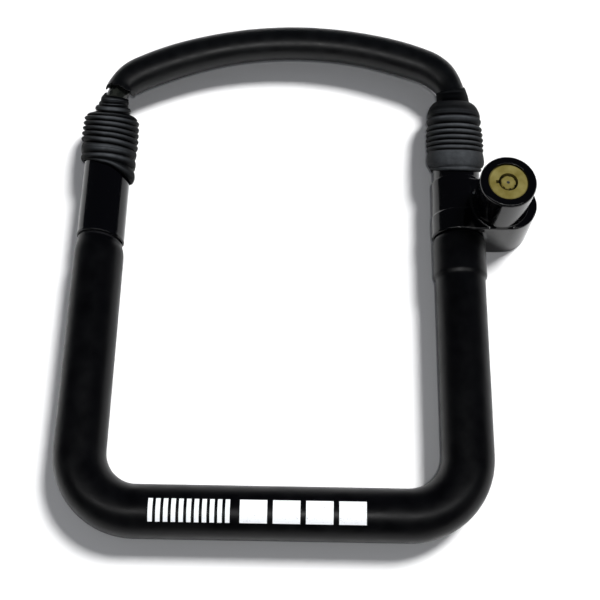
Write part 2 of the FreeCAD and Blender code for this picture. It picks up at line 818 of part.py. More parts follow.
def make_bolt_cam():
    """The disc under the spindle, whose offset pin throws the bolt."""
    body = new_body("bolt_cam")
    outline = new_sketch(body, "cam_outline", "XZ_Plane")
    draw(outline, [
        ("cam_screw_head", "cam_bottom"),
        ("cam_radius", "cam_bottom"),
        ("cam_radius", "cam_top"),
        ("cam_screw_radius", "cam_top"),
        ("cam_screw_radius", "cam_bottom + cam_screw_head_height"),
        ("cam_screw_head", "cam_bottom + turning_gap"),
    ])
    revolve(body, "cam_turn", outline)
    pin = new_sketch(body, "drive_pin_outline", "XY_Plane", "drive_pin_bottom")
    circle(pin, "throw_radius * cos(45deg)", "throw_radius * sin(45deg)", "drive_pin_radius")
    pad(body, "drive_pin", pin, "cam_bottom + overcut - drive_pin_bottom")
    keep(body, "bolt_cam", across=BARREL_X, along=BARREL_Y)


def make_cam_screw():
    corners = [
        ("0", "cam_bottom"),
        ("cam_screw_head - slot_depth", "cam_bottom"),
        ("cam_screw_radius", "cam_bottom + cam_screw_head_height"),
        ("cam_screw_radius", "cam_screw_top"),
        ("0", "cam_screw_top"),
    ]
    turned("cam_screw", corners, across=BARREL_X, along=BARREL_Y, role="XZ_Plane")


def make_lock_bolt():
    """The square bolt, drawn back here, with a cross slot for the cam's pin and a chamfered nose."""
    body = new_body("lock_bolt")
    outline = new_sketch(body, "bolt_outline", "XY_Plane", "-bolt_half")
    near = "barrel_along - bolt_half"
    far = "barrel_along + bolt_half"
    draw(outline, [
        ("bolt_tip", f"{near} + bolt_chamfer"),
        ("bolt_tip + bolt_chamfer", near),
        ("bolt_back", near),
        ("bolt_back", far),
        ("bolt_tip + bolt_chamfer", far),
        ("bolt_tip", f"{far} - bolt_chamfer"),
    ])
    pad(body, "bolt_bar", outline, "2 * bolt_half")
    slot = new_sketch(body, "bolt_slot_outline", "XY_Plane", "bolt_half")
    middle = "(barrel_across + throw_radius * cos(45deg))"
    half = "slot_width / 2"
    rectangle(slot, f"{middle} - {half}", f"{near} - overcut", f"{middle} + {half}", f"{far} + overcut")
    pocket(body, "bolt_slot", slot, "bolt_half - slot_floor")
    keep(body, "lock_bolt")


# ---------------------------------------------------------------- the bow
def elbow_centre(side):
    """The centre of the arc that turns a leg into the bow, as two expressions."""
    across = f"({side} * ({LEG} - elbow_radius))"
    reach = f"sqrt((bow_radius - elbow_radius)^2 - ({across} - bow_centre_across)^2)"
    return across, f"(bow_centre_along + {reach})"


def bow_join(side):
    """Where an elbow runs on into the bow, as two expressions."""
    across, along = elbow_centre(side)
    grow = "bow_radius / (bow_radius - elbow_radius)"
    return (f"(bow_centre_across + ({across} - bow_centre_across) * {grow})",
            f"(bow_centre_along + ({along} - bow_centre_along) * {grow})")


def make_bow_rod():
    """The hardened rod. Its right leg has four grooves, so the bow locks at four lengths."""
    body = new_body("bow_rod")
    path = [
        (LEG, "rod_end"),
        (LEG, elbow_centre(1)[1], "-elbow_radius"),
        (*bow_join(1), "-bow_radius"),
        (*bow_join(-1), "-elbow_radius"),
        (f"-{LEG}", elbow_centre(-1)[1]),
        (f"-{LEG}", "rod_end"),
    ]
    pipe(body, "rod", path, "rod_end", LEG, ["rod_diameter / 2"])
    doc.recompute()
    legs_end = []
    for side in (1, -1):
        end = Vector(side * value(LEG), value("rod_end"), 0)
        legs_end.append(round_edge_at(value("rod_diameter / 2"), end, Vector(0, 1, 0)))
    fillet(body, "leg_rounds", "rod_chamfer", lambda edge: any(test(edge) for test in legs_end))
    doc.recompute()
    before = body.Shape.Volume
    outline = new_sketch(body, "groove_outline")
    rectangle(outline, f"{LEG} + groove_floor_radius", "barrel_along - groove_half_width",
              f"{LEG} + rod_diameter / 2 + overcut", "barrel_along + groove_half_width")
    top = Vector(value(LEG), value("barrel_along"), 0)
    axis_line = outline.addGeometry(Part.LineSegment(top, top + Vector(0, 10, 0)), True)
    fix(outline, axis_line, 1, LEG, "barrel_along")
    fix(outline, axis_line, 2, LEG, "barrel_along + 10")
    groove = body.newObject("PartDesign::Groove", "groove")
    groove.Profile = outline
    groove.ReferenceAxis = (outline, ["Axis0"])
    groove.Angle = 360
    doc.recompute()
    pattern = body.newObject("PartDesign::LinearPattern", "grooves")
    pattern.Originals = [groove]
    pattern.Direction = (outline, ["V_Axis"])
    pattern.Reversed = True
    bind(pattern, Length="groove_pitch * (groove_count - 1)", Occurrences="groove_count")
    body.Tip = pattern
    doc.recompute()
    ring = math.pi * (value("rod_diameter / 2") ** 2 - value("groove_floor_radius") ** 2)
    expected = ring * value("2 * groove_half_width * groove_count")
    if abs(before - body.Shape.Volume - expected) > 0.01 * expected:
        raise RuntimeError("the bow rod's grooves cut the wrong volume")
    keep(body, "bow_rod")


def make_bow_sheath():
    """The vinyl sheath round the bow. On the left it ends part way round the elbow."""
    body = new_body("bow_sheath")
    across, along = elbow_centre(-1)
    angle = "(sheath_left_angle * 1deg)"
    path = [
        (LEG, "sheath_right_end"),
        (LEG, elbow_centre(1)[1], "-elbow_radius"),
        (*bow_join(1), "-bow_radius"),
        (*bow_join(-1), "-elbow_radius"),
        (f"({across} - elbow_radius * cos({angle}))", f"({along} + elbow_radius * sin({angle}))"),
    ]
    radii = ["sheath_diameter / 2", "rod_diameter / 2"]
    pipe(body, "sheath", path, "sheath_right_end", LEG, radii)
    keep(body, "bow_sheath")


def ring_row(name, start):
    """The outline of a row of rings, one arc to a ring, from the lip's side up."""
    root = "ring_radius - ring_depth"
    pitch = f"{name}_ring_pitch"
    corners = []
    for number in range(int(value("ring_count"))):
        corners.append((root, f"{start} + {number} * {pitch}", f"-{pitch} * 0.53"))
    corners.append((root, f"{start} + ring_count * {pitch}"))
    return corners


def make_right_bellows():
    """The rubber boot on the right leg: lip, end lobe, rings, shoulder, and a neck over the sheath."""
    inside = "(ring_radius - ring_depth - bellows_wall)"
    cuff = "(spigot_radius + cuff_gap)"
    top_of_rings = "right_lobe_end + ring_count * right_ring_pitch"
    sheath = "sheath_diameter / 2"
    corners = [
        (cuff, "right_bellows_bottom"),
        ("right_lip_radius", "right_bellows_bottom", "-right_lip_curve"),
        ("right_lip_radius", "right_lip_end", "-right_lobe_curve"),
        *ring_row("right", "right_lobe_end"),
        ("right_shoulder_root", top_of_rings, "-right_shoulder_curve"),
        ("right_neck_radius + right_neck_flare", "right_shoulder_end"),
        ("right_neck_radius", "right_shoulder_end + cuff_gap"),
        ("right_neck_radius", "right_neck_end"),
        (sheath, "right_neck_end"),
        (sheath, "right_shoulder_end - bellows_wall"),
        (inside, "right_shoulder_end - 3 * bellows_wall"),
        (inside, "mouth + seal_room"),
        (cuff, "mouth + seal_room / 2"),
    ]
    turned("right_bellows", corners, side=1)


def make_left_bellows():
    """The rubber boot on the left leg: lip, rings, shoulder, and a ribbed neck on the bare rod."""
    inside = "(ring_radius - ring_depth - bellows_wall)"
    cuff = "(left_collar_diameter / 2 + cuff_gap)"
    top_of_rings = "left_lip_end + ring_count * left_ring_pitch"
    rib = "((left_neck_end - left_shoulder_end) / 3)"
    corners = [
        (cuff, "left_bellows_bottom"),
        ("left_lip_radius", "left_bellows_bottom", "-left_lip_curve"),
        *ring_row("left", "left_lip_end"),
        ("left_shoulder_root", top_of_rings, "-left_shoulder_curve"),
        ("left_neck_radius + left_neck_step", "left_shoulder_end"),
        ("left_neck_radius", "left_shoulder_end", f"-{rib} * 0.6"),
        ("left_neck_radius - left_neck_step", f"left_shoulder_end + {rib}", f"-{rib} * 0.6"),
        ("left_neck_radius - 2 * left_neck_step", f"left_shoulder_end + 2 * {rib}", f"-{rib} * 0.6"),
        ("left_neck_radius - 3 * left_neck_step", "left_neck_end"),
        ("left_neck_bore", "left_neck_end"),
        ("left_neck_bore", "left_shoulder_end - bellows_wall"),
        (inside, "left_shoulder_end - 3 * bellows_wall"),
        (inside, "mouth + seal_room"),
        (cuff, "mouth + seal_room / 2"),
    ]
    turned("left_bellows", corners, side=-1)


# ---------------------------------------------------------------- build, check, write
make_lower_u_tube()
make_vinyl_sleeve()
make_print_mark()
make_left_collar()
make_socket_pieces(1, "right")
make_socket_pieces(-1, "left")
make_lock_housing()
make_housing_pin()
make_bottom_cover()
make_cover_screws()
make_bolt_guide()
make_cylinder_shell()
make_rear_pin_housing()
pin_group("driver_pins", "driver_bottom", "shear_line")
make_pin_springs()
make_cross_pin()
make_grub_screw()
make_cylinder_spindle()
pin_group("key_pins", "shear_line + pin_gap", "pin_top")
make_hard_pin()
make_bolt_cam()
make_cam_screw()
make_lock_bolt()
make_bow_rod()
make_bow_sheath()
make_left_bellows()
make_right_bellows()
doc.recompute()

for item in doc.Objects:
    if "Invalid" in item.State or "Error" in item.State:
        raise RuntimeError(f"{item.Name} ({item.Label}) did not build: {item.State}")
for node in nodes:
    if node.Shape.isNull() or not node.Shape.isValid() or not node.Shape.Solids:
        raise RuntimeError(f"{node.Label} has no valid solid")

os.makedirs("parts", exist_ok=True)
for node in nodes:
    node.Shape.exportStep(f"parts/{node.Label}.step")
    box = node.Shape.BoundBox
    print(f"{node.Label:22s} {len(node.Shape.Solids)} solid(s) {node.Shape.Volume / 1000:8.3f} cm3",
          f"{box.XLength:7.2f} {box.YLength:7.2f} {box.ZLength:7.2f}")
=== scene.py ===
"""The looks of a motorcycle-size U lock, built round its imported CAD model.

Blender units are metres. Sizes below are in millimetres and are turned into metres with MM.
Places come from the CAD nodes' boxes, and a piece's local millimetres are measured from there.
"""
import math

import bpy
import numpy as np
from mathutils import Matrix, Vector


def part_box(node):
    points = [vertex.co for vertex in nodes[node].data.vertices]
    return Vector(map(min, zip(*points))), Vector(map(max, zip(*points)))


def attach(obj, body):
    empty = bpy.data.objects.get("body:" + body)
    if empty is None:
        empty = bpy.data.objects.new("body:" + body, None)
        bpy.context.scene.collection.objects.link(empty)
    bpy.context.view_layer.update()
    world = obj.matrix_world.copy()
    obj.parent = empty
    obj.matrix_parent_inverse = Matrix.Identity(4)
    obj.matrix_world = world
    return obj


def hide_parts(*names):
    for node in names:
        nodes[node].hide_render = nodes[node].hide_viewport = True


MM = 0.001

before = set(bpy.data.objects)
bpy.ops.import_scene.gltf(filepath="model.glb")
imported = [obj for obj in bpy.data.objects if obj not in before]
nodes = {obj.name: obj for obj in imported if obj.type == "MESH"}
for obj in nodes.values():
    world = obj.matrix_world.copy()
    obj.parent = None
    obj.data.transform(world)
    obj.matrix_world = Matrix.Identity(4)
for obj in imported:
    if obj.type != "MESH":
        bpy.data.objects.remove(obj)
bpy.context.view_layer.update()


# ---------------------------------------------------------------- places, read from the frame
def centre_of(node):
    low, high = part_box(node)
    return (low + high) / 2 / MM


def radius_of(node):
    """Half the height of a node that is round and lies flat."""
    low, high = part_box(node)
    return (high.z - low.z) / 2 / MM


LEFT_LEG = centre_of("left_mouth_seal").x
RIGHT_LEG = centre_of("right_mouth_seal").x
MIDDLE = (LEFT_LEG + RIGHT_LEG) / 2
HALF = (RIGHT_LEG - LEFT_LEG) / 2
PLANE = centre_of("left_mouth_seal").z
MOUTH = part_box("left_mouth_seal")[0].y / MM
TUBE_RADIUS = radius_of("lower_u_tube")
CROSS_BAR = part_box("lower_u_tube")[0].y / MM + TUBE_RADIUS
BARREL = centre_of("cylinder_shell")
BARREL_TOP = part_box("lock_housing")[1].z / MM - PLANE
SLEEVE_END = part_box("vinyl_sleeve")[1].y / MM
COLLAR_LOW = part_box("left_collar")[0].y / MM
COLLAR_RADIUS = radius_of("left_collar")

# the bow: two elbows and a long arc between them
SHEATH_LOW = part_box("bow_sheath")[0].y / MM
SHEATH_RADIUS = radius_of("bow_sheath")
ROD_RADIUS = radius_of("bow_rod")
ELBOW = 26.0  # radius of each elbow's centre line
BOW = 184.2  # radius of the long arc's centre line
BOW_SHIFT = 7.35  # how far the arc's centre is to the right of the middle
BOW_ACROSS = MIDDLE + BOW_SHIFT
BOW_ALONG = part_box("bow_sheath")[1].y / MM - SHEATH_RADIUS - BOW
LOWER_BEND = 29.0  # radius of the lower U's two corners, at the centre line
SHEATH_END_ANGLE = 24  # how far short of the left leg the sheath stops, in degrees round the elbow
GAP = 0.02  # kept between a skin and what it covers


def elbow_place(leg, side):
    """Where a leg's elbow starts along Y, and the angle at which it meets the long arc."""
    across = leg - side * ELBOW - BOW_ACROSS
    rise = math.sqrt((BOW - ELBOW) ** 2 - across ** 2)
    return BOW_ALONG + rise, math.degrees(math.atan2(rise, across))


RIGHT_ELBOW, RIGHT_JOIN = elbow_place(RIGHT_LEG, 1)
LEFT_ELBOW, LEFT_JOIN = elbow_place(LEFT_LEG, -1)


# ---------------------------------------------------------------- mesh helpers
def mesh_object(name, points, faces, smooth=True):
    """A mesh object from points in millimetres, in the row frame."""
    mesh = bpy.data.meshes.new(name)
    mesh.from_pydata((np.asarray(points) * MM).tolist(), [], faces)
    mesh.validate()
    mesh.update()
    if smooth:
        mesh.polygons.foreach_set("use_smooth", [True] * len(mesh.polygons))
    item = bpy.data.objects.new(name, mesh)
    bpy.context.scene.collection.objects.link(item)
    return item


def wrap_grid(rows, sides):
    """Quads over a grid that closes on itself both ways, as a closed ring of profile loops does."""
    faces = []
    for row in range(rows):
        after = (row + 1) % rows
        for side in range(sides):
            beside = (side + 1) % sides
            faces.append((row * sides + side, row * sides + beside,
                          after * sides + beside, after * sides + side))
    return faces


class Route:
    """A planar centre line of straight runs and arcs, as points spaced evenly along it."""

    def __init__(self, start, heading):
        self.points = [np.array(start, float)]
        self.heading = math.radians(heading)
        self.step = 0.5

    def run(self, length):
        count = max(1, round(length / self.step))
        direction = np.array([math.cos(self.heading), math.sin(self.heading)])
        first = self.points[-1]
        for number in range(1, count + 1):
            self.points.append(first + direction * length * number / count)

    def turn(self, radius, degrees):
        """An arc to the left for positive degrees, to the right for negative."""
        side = math.copysign(1, degrees)
        angle = math.radians(abs(degrees))
        left = np.array([-math.sin(self.heading), math.cos(self.heading)]) * side
        centre = self.points[-1] + left * radius
        out = self.points[-1] - centre
        count = max(2, round(radius * angle / self.step))
        for number in range(1, count + 1):
            swing = side * angle * number / count
            spin = np.array([[math.cos(swing), -math.sin(swing)], [math.sin(swing), math.cos(swing)]])
            self.points.append(centre + spin @ out)
        self.heading += side * angle

    def finish(self):
        line = np.array(self.points)
        gaps = np.linalg.norm(np.diff(line, axis=0), axis=1)
        self.along = np.concatenate([[0], np.cumsum(gaps)])
        self.line = line
        tangent = np.gradient(line, self.along, axis=0)
        self.tangent = tangent / np.linalg.norm(tangent, axis=1)[:, None]
        self.length = self.along[-1]
        return self

    def at(self, distance):
        """Places and directions at distances along the line, as two arrays."""
        place = np.stack([np.interp(distance, self.along, self.line[:, axis]) for axis in (0, 1)], axis=1)
        ahead = np.stack([np.interp(distance, self.along, self.tangent[:, axis]) for axis in (0, 1)], axis=1)
        return place, ahead / np.linalg.norm(ahead, axis=1)[:, None]


def swept(name, route, profile, sides=96, shape=None, slide=None):
    """A closed skin swept along a route. profile is a closed loop of (distance, radius) pairs.

    shape(distance, radius, angle) gives the radius at each point, so that the skin can be uneven.
    slide(distance, angle) moves points along the route, so that an end can be askew. Angle 0 faces
    the outside of the loop that the lock makes.
    """
    profile = np.array(profile, float)
    distance, radius = profile[:, 0], profile[:, 1]
    place, ahead = route.at(np.clip(distance, 0, route.length))
    angle = np.linspace(0, 2 * math.pi, sides, endpoint=False)
    spread = radius[:, None] * np.ones(sides)[None, :]
    if shape is not None:
        spread = shape(distance[:, None], spread, angle[None, :])
    moved = slide(distance[:, None], angle[None, :]) if slide is not None else np.zeros_like(spread)
    across = np.stack([ahead[:, 1], -ahead[:, 0]], axis=1)
    flat = spread * np.cos(angle)[None, :]
    points = np.empty((len(profile), sides, 3))
    points[..., 0] = place[:, None, 0] + across[:, None, 0] * flat + ahead[:, None, 0] * moved
    points[..., 1] = place[:, None, 1] + across[:, None, 1] * flat + ahead[:, None, 1] * moved
    points[..., 2] = PLANE + spread * np.sin(angle)[None, :]
    return mesh_object(name, points.reshape(-1, 3), wrap_grid(len(profile), sides))


def lip(distance, inner, outer, facing, count=7):
    """A rounded end from the inner radius to the outer one. facing is +1 where the end looks forward."""
    middle = (inner + outer) / 2
    half = (outer - inner) / 2
    swing = np.linspace(-math.pi / 2, math.pi / 2, count)
    return [(distance + facing * half * (math.cos(a) - 1), middle + half * math.sin(a)) for a in swing]


def skin_profile(start, end, inner, outer, step, radius_at=None):
    """A tube wall as a closed loop: out along the outside, round the far end, back along the bore."""
    outer_line = np.arange(start + 1.5, end - 1.5, step)
    bore_line = np.arange(end - 3, start + 3, -step * 2)
    near = radius_at(start) if radius_at else outer
    far = radius_at(end) if radius_at else outer
    loop = lip(start, inner, near, -1)
    loop += [(d, radius_at(d) if radius_at else outer) for d in outer_line]
    loop += list(reversed(lip(end, inner, far, 1)))
    loop += [(d, inner) for d in bore_line]
    return loop


def ripple(points_along, angle, scale, seed):
    """Smooth, repeatable unevenness between -1 and 1 over a skin's length and angle."""
    total = 0
    for number, weight in ((1, 0.5), (2, 0.3), (3.7, 0.2)):
        wander = seed * 1.7 + 2.1 * np.sin(angle * 2 + seed)
        total = total + weight * np.sin(points_along * number / scale + wander)
        total = total + weight * np.sin(angle * round(number * 2) + points_along / scale * 0.6 + seed)
    return total / 2


# ---------------------------------------------------------------- materials
def new_material(name, colour, roughness, metallic=0.0, specular=0.5):
    material = bpy.data.materials.new(name)
    material.use_nodes = True
    shader = material.node_tree.nodes["Principled BSDF"]
    shader.inputs["Base Color"].default_value = (*colour, 1)
    shader.inputs["Roughness"].default_value = roughness
    shader.inputs["Metallic"].default_value = metallic
    shader.inputs["Specular IOR Level"].default_value = specular
    return material


def add(material, kind, **settings):
    node = material.node_tree.nodes.new(kind)
    for name, setting in settings.items():
        setattr(node, name, setting)
    return node


def link(material, source, target):
    material.node_tree.links.new(source, target)


def noise_node(material, size, detail=3.0, roughness=0.5, stretch=(1, 1, 1)):
    """Noise whose features are about size millimetres across, in the object's own space."""
    place = add(material, "ShaderNodeTexCoord")
    scale = add(material, "ShaderNodeMapping")
    scale.inputs["Scale"].default_value = stretch
    link(material, place.outputs["Object"], scale.inputs["Vector"])
    texture = add(material, "ShaderNodeTexNoise")
    texture.inputs["Scale"].default_value = 1 / (size * MM)
    texture.inputs["Detail"].default_value = detail
    texture.inputs["Roughness"].default_value = roughness
    link(material, scale.outputs["Vector"], texture.inputs["Vector"])
    return texture.outputs["Fac"]


def spread(material, source, low, high, start=0.3, end=0.7):
    """Maps a 0 to 1 value into a range."""
    node = add(material, "ShaderNodeMapRange")
    node.inputs["From Min"].default_value = start
    node.inputs["From Max"].default_value = end
    node.inputs["To Min"].default_value = low
    node.inputs["To Max"].default_value = high
    link(material, source, node.inputs["Value"])
    return node.outputs["Result"]


def tint(material, source, low, high, start=0.3, end=0.7):
    """Mixes two colours by a 0 to 1 value."""
    ramp = add(material, "ShaderNodeValToRGB")
    ramp.color_ramp.elements[0].position = start
    ramp.color_ramp.elements[0].color = (*low, 1)
    ramp.color_ramp.elements[1].position = end
    ramp.color_ramp.elements[1].color = (*high, 1)
    link(material, source, ramp.inputs["Fac"])
    return ramp.outputs["Color"]


def bump(material, sources):
    """Chains bumps. Each source is (value, height in millimetres)."""
    shader = material.node_tree.nodes["Principled BSDF"]
    normal = None
    for value, height in sources:
        node = add(material, "ShaderNodeBump")
        node.inputs["Distance"].default_value = height * MM
        node.inputs["Strength"].default_value = 1.0
        link(material, value, node.inputs["Height"])
        if normal is not None:
            link(material, normal, node.inputs["Normal"])
        normal = node.outputs["Normal"]
    link(material, normal, shader.inputs["Normal"])


def shader_input(material, name):
    return material.node_tree.nodes["Principled BSDF"].inputs[name]


def sleeve_vinyl():
    material = new_material("sleeve_vinyl", (0.0008, 0.0008, 0.0012), 0.36, specular=0.14)
    mottle = noise_node(material, 9, 4)
    link(material, spread(material, mottle, 0.30, 0.42), shader_input(material, "Roughness"))
    link(material, tint(material, mottle, (0.0004, 0.0004, 0.0007), (0.0014, 0.0015, 0.0019)),
         shader_input(material, "Base Color"))
    bump(material, [(noise_node(material, 0.9, 3), 0.015), (noise_node(material, 7, 2), 0.10)])
    return material


def sheath_vinyl():
    material = new_material("sheath_vinyl", (0.0012, 0.0014, 0.0017), 0.40, specular=0.25)
    mottle = noise_node(material, 6, 4)
    link(material, spread(material, mottle, 0.34, 0.46), shader_input(material, "Roughness"))
    link(material, tint(material, mottle, (0.0008, 0.0009, 0.0012), (0.0020, 0.0023, 0.0028)),
         shader_input(material, "Base Color"))
    bump(material, [(noise_node(material, 0.6, 3), 0.02), (noise_node(material, 5, 2), 0.06)])
    return material


def gloss_paint(name="gloss_paint", colour=(0.0006, 0.0006, 0.0010)):
    material = new_material(name, colour, 0.12, specular=0.28)
    cloud = noise_node(material, 5, 4)
    link(material, spread(material, cloud, 0.08, 0.18), shader_input(material, "Roughness"))
    bump(material, [(noise_node(material, 1.6, 2), 0.012)])
    return material


def bellows_rubber():
    """Rubber coloured partly by dustiness and partly by painted light: painted shade blacks its grooves and
    underside; its crests and top are pale, dusty and painted as lit.
    """
    material = new_material("bellows_rubber", (0.03, 0.032, 0.038), 0.62, specular=0.06)
    dust_and_shade = add(material, "ShaderNodeAttribute", attribute_name="dust_and_shade")
    blotch = noise_node(material, 4, 5, 0.6)
    mix = add(material, "ShaderNodeMath", operation="MULTIPLY")
    link(material, dust_and_shade.outputs["Fac"], mix.inputs[0])
    link(material, spread(material, blotch, 0.6, 1.0), mix.inputs[1])
    # groove colour: painted shade; crest colour: dusty rubber brightened as painted highlight
    groove_shade_colour, lit_dust_colour = (0.0003, 0.0004, 0.0006), (0.068, 0.073, 0.079)
    link(material, tint(material, mix.outputs["Value"], groove_shade_colour, lit_dust_colour, 0.0, 1.0),
         shader_input(material, "Base Color"))
    link(material, spread(material, blotch, 0.5, 0.7), shader_input(material, "Roughness"))
    bump(material, [(noise_node(material, 0.35, 4, 0.6), 0.02), (noise_node(material, 2.5, 3), 0.06)])
    return material


def brushed_brass():
    material = new_material("brushed_brass", (0.62, 0.54, 0.22), 0.42, metallic=0.6)
    streak = noise_node(material, 0.5, 4, 0.6, (1, 0.12, 1))
    cloud = noise_node(material, 5, 3)
    link(material, tint(material, cloud, (0.27, 0.22, 0.052), (0.44, 0.38, 0.13)),
         shader_input(material, "Base Color"))
    link(material, spread(material, streak, 0.34, 0.52), shader_input(material, "Roughness"))
    bump(material, [(streak, 0.012)])
    return material


def bright_steel(name="bright_steel", colour=(0.42, 0.43, 0.44), roughness=0.3):
    material = new_material(name, colour, roughness, metallic=1.0)
    streak = noise_node(material, 0.4, 4, 0.6, (0.15, 1, 1))
    link(material, spread(material, streak, roughness - 0.08, roughness + 0.12),
         shader_input(material, "Roughness"))
    bump(material, [(streak, 0.01)])
    return material


def dark_rod():
    material = new_material("dark_rod", (0.012, 0.014, 0.012), 0.25, metallic=0.3)
    cloud = noise_node(material, 3, 4)
    link(material, tint(material, cloud, (0.004, 0.005, 0.004), (0.020, 0.022, 0.018)),
         shader_input(material, "Base Color"))
    link(material, spread(material, cloud, 0.18, 0.34), shader_input(material, "Roughness"))
    bump(material, [(noise_node(material, 0.5, 3), 0.01)])
    return material


def white_print():
    material = new_material("white_print", (0.80, 0.82, 0.85), 0.4)
    wear = noise_node(material, 0.7, 5, 0.65)
    link(material, tint(material, wear, (0.45, 0.46, 0.49), (0.84, 0.86, 0.88), 0.30, 0.42),
         shader_input(material, "Base Color"))
    bump(material, [(wear, 0.01)])
    return material


def plain_plastic(name, colour, roughness):
    material = new_material(name, colour, roughness)
    grain = noise_node(material, 0.8, 3)
    dark = tuple(part * 0.85 for part in colour)
    link(material, tint(material, grain, dark, colour), shader_input(material, "Base Color"))
    bump(material, [(grain, 0.01)])
    return material


MATERIALS = {
    "sleeve": sleeve_vinyl(),
    "sheath": sheath_vinyl(),
    "paint": gloss_paint(),
    "rubber": bellows_rubber(),
    "brass": brushed_brass(),
    "steel": bright_steel(),
    "rod": dark_rod(),
    "pin": bright_steel("pin_steel", (0.03, 0.028, 0.024), 0.4),
    "print": white_print(),
    "nylon": plain_plastic("nylon", (0.72, 0.70, 0.64), 0.5),
    "seal": plain_plastic("seal_rubber", (0.02, 0.02, 0.02), 0.6),
    "tube": gloss_paint("tube_paint", (0.008, 0.008, 0.009)),
}


def dress(item, material):
    """Gives an object one material."""
    item.data.materials.clear()
    item.data.materials.append(MATERIALS[material])
    return item


# ---------------------------------------------------------------- CAD nodes that stay as they are
KEPT = {
    "lower_u_tube": "tube",
    "print_mark": "print",
    "housing_pin": "steel",
    "bottom_cover": "tube",
    "cover_screws": "steel",
    "bolt_guide": "steel",
    "right_upper_bush": "nylon",
    "right_lower_bush": "nylon",
    "left_upper_bush": "nylon",
    "left_lower_bush": "nylon",
    "right_stop_plug": "seal",
    "left_stop_plug": "seal",
    "right_mouth_seal": "seal",
    "left_mouth_seal": "seal",
    "cylinder_shell": "brass",
    "rear_pin_housing": "brass",
    "driver_pins": "brass",
    "key_pins": "pin",
    "pin_springs": "steel",
    "cylinder_cross_pin": "steel",
    "cylinder_grub_screw": "steel",
    "cylinder_spindle": "brass",
    "anti_drill_pin": "steel",
    "bolt_cam": "steel",
    "cam_screw": "steel",
    "lock_bolt": "steel",
    "bow_rod": "rod",
}
for node, material in KEPT.items():
    dress(nodes[node], material)


# ---------------------------------------------------------------- the lower U's sleeve
def u_route(left_end, right_end):
    """The U's centre line in the row frame, from the left leg's end round to the right leg's."""
    route = Route((LEFT_LEG, left_end), -90)
    route.run(left_end - CROSS_BAR - LOWER_BEND)
    route.turn(LOWER_BEND, 90)
    route.run(2 * (HALF - LOWER_BEND))
    route.turn(LOWER_BEND, 90)
    route.run(right_end - CROSS_BAR - LOWER_BEND)
    return route.finish()


def make_sleeve():
    """The vinyl cover, folded back at its right end, cut askew and drawn in at its left."""
    right_end = SLEEVE_END + 0.7
    route = u_route(COLLAR_LOW - 1.0, right_end)
    outer = 12.7
    fold_rise, fold_sharpness = 0.95, 1.6
    fold_length = right_end - COLLAR_LOW + 19.2
    roll_depth, roll_length = 0.7, 1.0
    draw_depth, draw_length = 1.15, 4.5
    askew_mean, askew_swing, askew_length = 0.3, 1.6, 5
    ripple_all, ripple_ends, ripple_reach = 0.03, 0.08, 14

    def radius_at(distance):
        from_right = route.length - distance
        fold = fold_rise * (1 - math.tanh(fold_sharpness * (from_right - fold_length))) / 2
        roll = roll_depth * math.exp(-from_right / roll_length)
        draw_in = draw_depth * math.exp(-(distance / draw_length) ** 2)
        return outer + fold - roll - draw_in

    def uneven(distance, radius, angle):
        near_end = np.exp(-np.minimum(distance, route.length - distance) / ripple_reach)
        skin = np.clip((radius - TUBE_RADIUS - 0.6) * 2, 0, 1)
        return radius + skin * (ripple_all + ripple_ends * near_end) * ripple(distance, angle, 6.0, 3.0)

    def askew(distance, angle):
        return (askew_mean - askew_swing * np.cos(angle)) * np.exp(-(distance / askew_length) ** 2)

    profile = skin_profile(0, route.length, TUBE_RADIUS + GAP, outer, 0.9, radius_at)
    sleeve = swept("sleeve_skin", route, profile, 112, uneven, askew)
    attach(dress(sleeve, "sleeve"), "frame")
    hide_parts("vinyl_sleeve")


make_sleeve()


